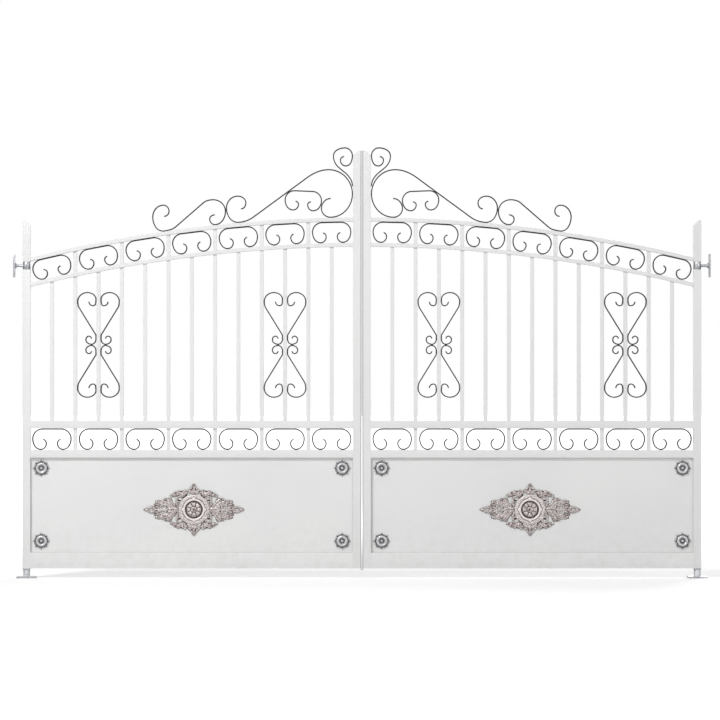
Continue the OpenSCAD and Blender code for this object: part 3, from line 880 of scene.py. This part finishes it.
for side in SIDES:
    low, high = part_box(f"{side}_rosettes")
    points, faces = [], []
    across = (low.x + rosette_r, high.x - rosette_r)
    up = (low.z + rosette_r, high.z - rosette_r)
    for x in across:
        for z in up:
            start = len(points)
            points += [(x + p / 1000, high.y - h / 1000, z + q / 1000)
                       for p, h, q in rosette_points]
            faces += [tuple(start + k for k in face) for face in rosette_faces]
    casting(side, "rosette_castings", plain_mesh("rosettes", points, (), faces), rosette_grey,
            lambda place: rosette_highlight_and_shade(1000 * hypot(min(abs(place.x - x) for x in across),
                                                        min(abs(place.z - z) for z in up))),
            "cast_grey", "rosettes")


# ---- Panel ornament ----
# One pierced casting in an antique rose-brown finish: a ringed flower in the middle,
# acanthus leaves and tendrils round it, and a palmette with a spear at each end.

def medallion_edge(a):
    return 78 + cos(24 * a)


def cusp(a):
    """How far the raised ring's four points reach out."""
    return 7.5 * max(0, abs(cos(2 * a)) - 0.955) / 0.045


def medallion_face(r, a, share):
    c = cusp(a)
    face = steps(r, [(0, 9.2), (2.5, 9.4), (4, 11.2), (8.5, 11.6), (14, 9.4), (17, 5.2),
                     (20, 5.0), (37, 4.2), (40, 2.2), (44, 2.4), (47, 8.2), (49, 9.6),
                     (55 + c, 9.8), (57 + c, 6.0), (59 + c, 6.2), (66 + c / 2, 7.8),
                     (73, 6.6), (79, 4.2)])
    petal = 5.0 * sqrt(max(0, 1 - ((r - 27) / 10) ** 2)) \
        * abs(cos(4 * a)) ** 0.8 if 17 < r < 37 else 0
    vein = -1.1 * exp(-((r - 27) / 6) ** 2) * exp(-(sin(4 * a) ** 2) * 60) \
        if 17 < r < 37 else 0
    rib = 0.7 * cos(48 * a + 0.12 * r) * max(0, 1 - abs(r - 68) / 8)
    edge = -1.6 * max(0, (share - 0.95) / 0.05)
    return min(11.9, max(1.0, face + petal + vein + rib + edge))


def ornament_highlight_and_darkening(x, height, z):
    """The ring round the flower is lightened as a painted highlight; its groove and the flower's
    eye are darker, and the petals and leaves are darker the lower they lie.
    """
    r, a = hypot(x, z), atan2(z, x)
    if r > 79:
        return -0.05 - 0.42 * max(0, 1 - height / 7.5)
    if r < 37:
        return -0.10 if r < 10 else -0.02 - 0.16 * max(0, 1 - height / 8)
    ring = max(0, min(1, (r - 46) / 2, (57 + cusp(a) - r) / 2))
    return 0.3 * ring + (1 - ring) * (-0.08 if r < 47 else 0.02)


def eased(points, count):
    """A smooth line of count points through the given ones."""
    ends = [points[0]] + list(points) + [points[-1]]
    line = []
    for k in range(count):
        t = (len(points) - 1) * k / (count - 1)
        i = min(int(t), len(points) - 2)
        t -= i
        p, q, r, s = (ends[i + j] for j in range(4))
        line.append(tuple(0.5 * (2 * q[n] + (r[n] - p[n]) * t
                                 + (2 * p[n] - 5 * q[n] + 4 * r[n] - s[n]) * t * t
                                 + (3 * q[n] - p[n] - 3 * r[n] + s[n]) * t ** 3)
                          for n in range(len(points[0]))))
    return line


def ridge(route, lobes=0.0, vein=0.0, count=26):
    """A closed raised leaf or stem along (x, z, half width, height) points."""
    line = eased(route, count)
    across = [-1, -0.8, -0.5, -0.2, 0, 0.2, 0.5, 0.8, 1]
    points, faces = [], []
    for k, (x, z, half, height) in enumerate(line):
        x0, z0 = line[max(0, k - 1)][:2]
        x1, z1 = line[min(count - 1, k + 1)][:2]
        size = hypot(x1 - x0, z1 - z0) or 1
        nx, nz = -(z1 - z0) / size, (x1 - x0) / size
        wave = 1 + 0.2 * cos(2 * pi * lobes * k / (count - 1)) if lobes else 1
        half = max(0.4, half * wave)
        ring = [(-1, 0)] + [(u, height * (0.42 + 0.58 * (1 - u * u) ** 0.6)
                             - vein * max(0, 1 - abs(u) / 0.3)
                             + 0.5 * vein * cos(2 * pi * lobes * 2 * k / (count - 1))
                             * (u * u)) for u in across] + [(1, 0)]
        points += [(x + u * half * nx, max(0.0, h), z + u * half * nz) for u, h in ring]
    n = len(across) + 2
    for k in range(count - 1):
        for j in range(n):
            m = (j + 1) % n
            faces.append((k * n + j, k * n + m, (k + 1) * n + m, (k + 1) * n + j))
    faces.append(tuple(range(n - 1, -1, -1)))
    faces.append(tuple((count - 1) * n + j for j in range(n)))
    return points, faces


def loop(x, z, across, up, half, height, start=0, turn=360, grow=0.0):
    """Route of an oval ring or a spiral round (x, z)."""
    return [(x + (across + grow * k / 12) * cos(radians(start + turn * k / 12)),
             z + (up + grow * k / 12) * sin(radians(start + turn * k / 12)),
             half, height) for k in range(13)]


def knob(x, z, r):
    return ridge([(x - r, z, 1, 5), (x - 0.6 * r, z, 0.8 * r, 8), (x, z, r, 9.8),
                  (x + 0.6 * r, z, 0.8 * r, 8), (x + r, z, 1, 5)], count=10)


quarter = [
    # acanthus leaves round the medallion, upper right
    ridge([(50, 66, 8, 7), (53, 76, 13, 9), (50, 89, 13, 8.5), (45, 101, 5, 6)], 3, 1.6),
    ridge([(56, 68, 7, 6), (67, 79, 11, 9), (82, 86, 11, 8.5), (98, 86, 5, 6)], 3, 1.6),
    ridge([(84, 72, 7, 6), (98, 75, 9, 8), (111, 74, 7.5, 7), (123, 72, 3.5, 5)], 2, 1.2),
    ridge([(37, 78, 5, 6), (38, 87, 8, 8), (36, 96, 4, 6)], 1, 1.0),
    ridge([(48, 72, 10, 3), (52, 84, 14, 3), (74, 85, 10, 3), (96, 80, 8, 3)]),
    # tendrils round the openings
    ridge(loop(74, 53, 13, 13, 3.6, 8.5, 190, 330, 1.5), 0, 0.6, 40),
    ridge(loop(86, 29, 7, 7, 2.8, 7, 150, 340), 0, 0, 32),
    ridge([(78, 6, 6, 7), (86, 24, 5, 8), (89, 44, 4.5, 8.5), (87, 62, 5, 8),
           (82, 74, 4, 6)], 0, 0.9),
    # palmette leaves
    ridge([(84, 3, 6, 6), (104, 19, 10, 8.5), (122, 38, 11, 9.5), (136, 52, 8, 8),
           (149, 55, 3.5, 5)], 4, 1.6, 36),
    ridge([(92, 4, 7, 7), (122, 22, 10, 9.5), (150, 37, 10, 9.5), (178, 41, 8, 8.5),
           (200, 42, 3.5, 5)], 5, 1.6, 40),
    ridge([(98, 2, 7, 8), (122, 12, 9, 10), (140, 25, 7, 9), (164, 31, 6.5, 9),
           (188, 27, 4, 7)], 3, 1.4, 34),
    ridge([(116, 48, 6, 6), (124, 55, 6, 7.5), (128, 61, 3, 5)], 0, 0.8, 14),
    ridge(loop(159, 13, 15, 11, 4.2, 9.5), 0, 0.7, 40),
    ridge([(180, 20, 6, 7), (194, 27, 6, 7.5), (206, 25, 3, 5)], 1, 0.8, 16),
    ridge([(176, 6, 6, 8), (190, 13, 6.5, 8), (203, 15, 4, 6)], 1, 0.8, 16),
    # webs behind the leaves, and a neck to the medallion
    ridge([(44, 60, 10, 2.4), (48, 68, 13, 2.6), (51, 78, 12, 3)]),
    ridge([(66, 40, 6, 2.4), (76, 44, 7, 2.6), (86, 48, 5, 3)]),
    ridge([(84, 4, 8, 3), (116, 16, 17, 3), (140, 26, 12, 3), (170, 32, 10, 3),
           (192, 30, 8, 3)]),
    # barb of the spear
    ridge([(198, 4, 5, 7), (209, 13, 5.5, 7.5), (222, 15, 3, 5)], 1, 0.8, 16),
    ridge([(206, 5, 5, 7), (217, 12, 5.5, 8), (226, 11.5, 5.5, 8), (240, 6, 5, 7.5),
           (257, 1.5, 3, 5)], 0, 0.6, 24),
    # knobs at the leaf tips
    *(knob(*spot) for spot in ((117, 70, 6.5), (46, 97, 6.5), (104, 83, 5), (192, 38, 6.5),
                               (150, 53, 5.5), (27, 99, 5.5), (218, 14, 4.5))),
    # crown of the top finial
    ridge([(6, 80, 6, 7), (13, 88, 9, 9.5), (22, 95, 8, 8.5), (31, 102, 3.5, 5)], 2, 1.3),
    ridge([(27, 98, 4.5, 6), (17, 106, 5.5, 8), (9, 118, 4.6, 7.5), (2, 133, 3, 5)], 0,
          0.6),
]
halves = [
    ridge([(81, 0, 8, 7), (96, 0, 13, 10), (118, 0, 12, 10.5), (140, 0, 6, 10),
           (190, 0, 5, 9), (212, 0, 5, 7)], 0, 1.4, 40),
    ridge([(172, 0, 8, 4), (184, 0, 17, 4), (200, 0, 10, 3)]),
    ridge([(236, 0, 6.5, 6), (246, 0, 6.5, 8.5), (261, 0, 0.8, 4)], 0, 0, 16),
]
finials = [
    ridge([(0, 80, 8, 7), (0, 89, 12, 10.5), (0, 100, 10, 9.5), (0, 111, 3.5, 7)], 1, 1.6),
    ridge([(0, 73, 12, 2.4), (0, 84, 17, 3), (0, 98, 20, 3), (0, 108, 8, 3)]),
    ridge([(0, 126, 5.5, 6), (0, 131, 4.5, 7.5), (0, 136, 0.6, 4)], 0, 0, 12),
]

antique_rose = cast_metal("antique_rose_brown", (0.84, 0.79, 0.78), (0.31, 0.255, 0.243),
                          (0.050, 0.034, 0.028), 0.25)

ornament = bmesh.new()


def cast_in(points, faces, flip_x, flip_z):
    """Adds a shape to the casting, mirrored as asked, with its faces outwards."""
    verts = [ornament.verts.new((flip_x * x, -h, flip_z * z)) for x, h, z in points]
    made = []
    for face in faces:
        corners = [verts[k] for k in face]
        if len(set(corners)) > 2:
            made.append(ornament.faces.new(corners))
    bmesh.ops.recalc_face_normals(ornament, faces=made)


for shapes, flips in ((quarter, ((-1, -1), (-1, 1), (1, -1), (1, 1))),
                      (halves, ((1, 1), (-1, 1))), (finials, ((1, 1), (1, -1)))):
    for shape in shapes:
        for flip in flips:
            cast_in(*shape, *flip)
cast_in(*disc(medallion_edge, medallion_face, 192, 60), 1, 1)
for vert in ornament.verts:
    vert.co *= 0.001

for side in SIDES:
    low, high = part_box(f"{side}_panel_ornament")
    mesh = bpy.data.meshes.new("ornament")
    ornament.to_mesh(mesh)
    middle = Vector(((low.x + high.x) / 2, high.y, (low.z + high.z) / 2))
    mesh.transform(Matrix.Translation(middle))
    casting(side, "ornament_casting", mesh, antique_rose,
            lambda place: ornament_highlight_and_darkening(1000 * (place.x - middle.x), 1000 * (middle.y - place.y),
                                      1000 * (place.z - middle.z)),
            "antique_cast", "panel_ornament")
ornament.free()


# ---- Buffer strips ----
# Ribbed black rubber, glued down the closing face of each meeting stile and left hanging
# a little below the leaf.

rubber, tree, shader, place = finish_named("buffer_rubber")
tone = spread(tree, spots(tree, place, 18, 4), 0.35, 0.7, 0, 1)
dress(tree, shader, tint(tree, tone, (0.018, 0.018, 0.019), (0.032, 0.031, 0.030)),
      spread(tree, spots(tree, place, 90, 3), 0.3, 0.7, 0.62, 0.82),
      [(spots(tree, place, 700, 3), 0.0002, 0.3)])
ribs = 5
rib_steps = 8

for side, way in SIDES.items():
    low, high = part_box(f"{side}_buffer_strip")
    back = low.x if way < 0 else high.x
    depth, thick = high.y - low.y, high.x - low.x
    outline = [(0, 0)]
    for k in range(rib_steps * ribs + 1):
        t = k / (rib_steps * ribs)
        rise = 0.55 + 0.45 * abs(sin(pi * ribs * t)) ** 0.8
        outline.append((t * depth, rise * thick))
    outline.append((depth, 0))
    strip = bmesh.new()
    rings = [[strip.verts.new((back - way * t, low.y + y, z)) for y, t in outline]
             for z in (low.z, high.z)]
    for k in range(len(outline)):
        n = (k + 1) % len(outline)
        strip.faces.new((rings[0][k], rings[0][n], rings[1][n], rings[1][k]))
    for ring in rings:
        strip.faces.new(ring)
    bmesh.ops.recalc_face_normals(strip, faces=strip.faces)
    mesh = bpy.data.meshes.new(f"{side}_ribbed_buffer")
    strip.to_mesh(mesh)
    strip.free()
    mesh.materials.append(rubber)
    fixed(new_piece(f"{side}_ribbed_buffer", mesh), f"{side}_leaf", "rubber",
          f"{side}_buffer_strip")


# ---- Hinges ----
# Hot-dip galvanised steel: a floor pivot under each leaf, and above it a collar on a
# threaded stem that screws into a wall plate. The leaf's plugs are steel too.

galvanised, tree, shader, place = finish_named("galvanised_steel")
spangle = add(tree, "ShaderNodeTexVoronoi", {"Vector": place, "Scale": 110.0}, "Color")
flake = add(tree, "ShaderNodeSeparateColor", {0: spangle})
tone = tint(tree, flake, (0.40, 0.41, 0.43), (0.58, 0.59, 0.61))
stain = spread(tree, spots(tree, place, 40, 5, 0.65), 0.5, 0.75, 0, 0.55)
dress(tree, shader, tint(tree, stain, tone, (0.26, 0.255, 0.25)),
      spread(tree, flake, 0, 1, 0.34, 0.5), [(spots(tree, place, 420, 3), 0.0003, 0.25)], 0.85)

for side in SIDES:
    for part in ("floor_pivot", "collar", "wall_plate"):
        rounded_copy(f"{side}_{part}", "fixings", galvanised, "hinge_steel", 0.0007)
    rounded_copy(f"{side}_foot_plug", f"{side}_leaf", galvanised, "hinge_steel", 0.0006)
    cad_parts[f"{side}_hinge_journal"].material_slots[0].material = galvanised


# ---- Stem threads ----
# The stem of each collar is threaded, pitch 2 mm, so that the leaf can be set plumb.

thread, sizes = new_tree("stem_thread", Radius=0.0078, Length=0.03, Pitch=0.002,
                         Ridge=0.0009)
helix = add(thread, "GeometryNodeCurveSpiral",
            {"Resolution": 28, "Rotations": maths(thread, "DIVIDE", sizes["Length"],
                                                  sizes["Pitch"]),
             "Start Radius": sizes["Radius"], "End Radius": sizes["Radius"],
             "Height": sizes["Length"]})
tooth = add(thread, "GeometryNodeCurvePrimitiveCircle",
            {"Radius": sizes["Ridge"], "Resolution": 4})
end_tree(thread, sizes, add(thread, "GeometryNodeTransform",
                            {"Geometry": swept(thread, helix, tooth),
                             "Rotation": (0, pi / 2, 0)}))

axis_in = 0.02             # from the collar's inner end to the hinge's axis
thread_start = 0.0215      # from the axis to the nearer end of the thread
thread_long = 0.029

for side, way in SIDES.items():
    low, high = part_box(f"{side}_collar")
    axis_x = low.x + axis_in if way > 0 else high.x - axis_in
    piece = grown(thread, f"{side}_stem_thread", bpy.data.meshes.new("thread"),
                  Radius=0.0074, Length=thread_long, Pitch=0.002, Ridge=0.0009,
                  Finish=galvanised)
    start = axis_x + way * (thread_start + (thread_long if way < 0 else 0))
    piece.data.transform(Matrix.Translation((start, 0, (low.z + high.z) / 2)))
    fixed(piece, "fixings", "hinge_steel")


# ---- Floor, light and camera ----
# A white floor that runs out of sight, a white world, a soft key from the upper left, a
# weaker fill, a broad lamp behind the gate, and a camera square to the closed gate.

floor_size = 60
floor = new_piece("floor", plain_mesh(
    "floor", [(centre_x + across * floor_size, away * floor_size, 0)
              for across, away in ((-1, -1), (1, -1), (1, 1), (-1, 1))], (), [(0, 1, 2, 3)]))
floor_white, tree, shader, place = finish_named("floor_white")
shader.inputs["Base Color"].default_value = (0.82, 0.82, 0.82, 1)
shader.inputs["Roughness"].default_value = 0.9
shader.inputs["Specular IOR Level"].default_value = 0.1
away = add(tree, "ShaderNodeVectorMath", {0: place, 1: (centre_x, 0, 0)}, "Value",
           operation="DISTANCE")
seen = tree.nodes.new("ShaderNodeLightPath").outputs
glow = add(tree, "ShaderNodeEmission",
           {"Color": (1, 1, 1, 1), "Strength": maths(tree, "MULTIPLY", seen["Is Camera Ray"],
                                                     spread(tree, away, 2.0, 6.5, 0.28, 1.0))})
tree.links.new(add(tree, "ShaderNodeAddShader", {0: shader.outputs[0], 1: glow}),
               tree.nodes["Material Output"].inputs["Surface"])
floor.data.materials.append(floor_white)

world = bpy.data.worlds.new("white_room")
world.use_nodes = True
bpy.context.scene.world = world
tree = world.node_tree
sky = tree.nodes["Background"]
sky.inputs["Color"].default_value = (1, 1, 1, 1)
seen = tree.nodes.new("ShaderNodeLightPath").outputs
direct = maths(tree, "MAXIMUM", seen["Is Camera Ray"], seen["Is Glossy Ray"])
direct = maths(tree, "MAXIMUM", direct, seen["Is Transmission Ray"])
tree.links.new(spread(tree, direct, 0, 1, 0.42, 1.0), sky.inputs["Strength"])


def soft_lamp(name, place, aim, size, power):
    lamp = bpy.data.lights.new(name, "AREA")
    lamp.shape = "DISK"
    lamp.size = size
    lamp.energy = power
    holder = bpy.data.objects.new(name, lamp)
    holder.location = place
    holder.rotation_euler = (Vector(aim) - Vector(place)).to_track_quat("-Z", "Y").to_euler()
    bpy.context.scene.collection.objects.link(holder)


soft_lamp("key", (centre_x - 4.5, -6.5, 6.5), (centre_x, 0, 0.9), 2.2, 470)
soft_lamp("fill", (centre_x + 6.0, -7.0, 2.5), (centre_x, 0, 1.0), 3.5, 80)
soft_lamp("back", (centre_x + 3.5, 7.5, 5.0), (centre_x, 0, 1.0), 4.0, 330)

camera_data = bpy.data.cameras.new("camera")
camera_data.lens = 200
camera_data.sensor_width = 36
camera = bpy.data.objects.new("camera", camera_data)
camera.location = (centre_x - 0.010, -20.64, leaf_z + 1.074)
camera.rotation_euler = (pi / 2, 0, 0)
bpy.context.scene.collection.objects.link(camera)
bpy.context.scene.camera = camera
bpy.context.scene.view_settings.view_transform = "Standard"
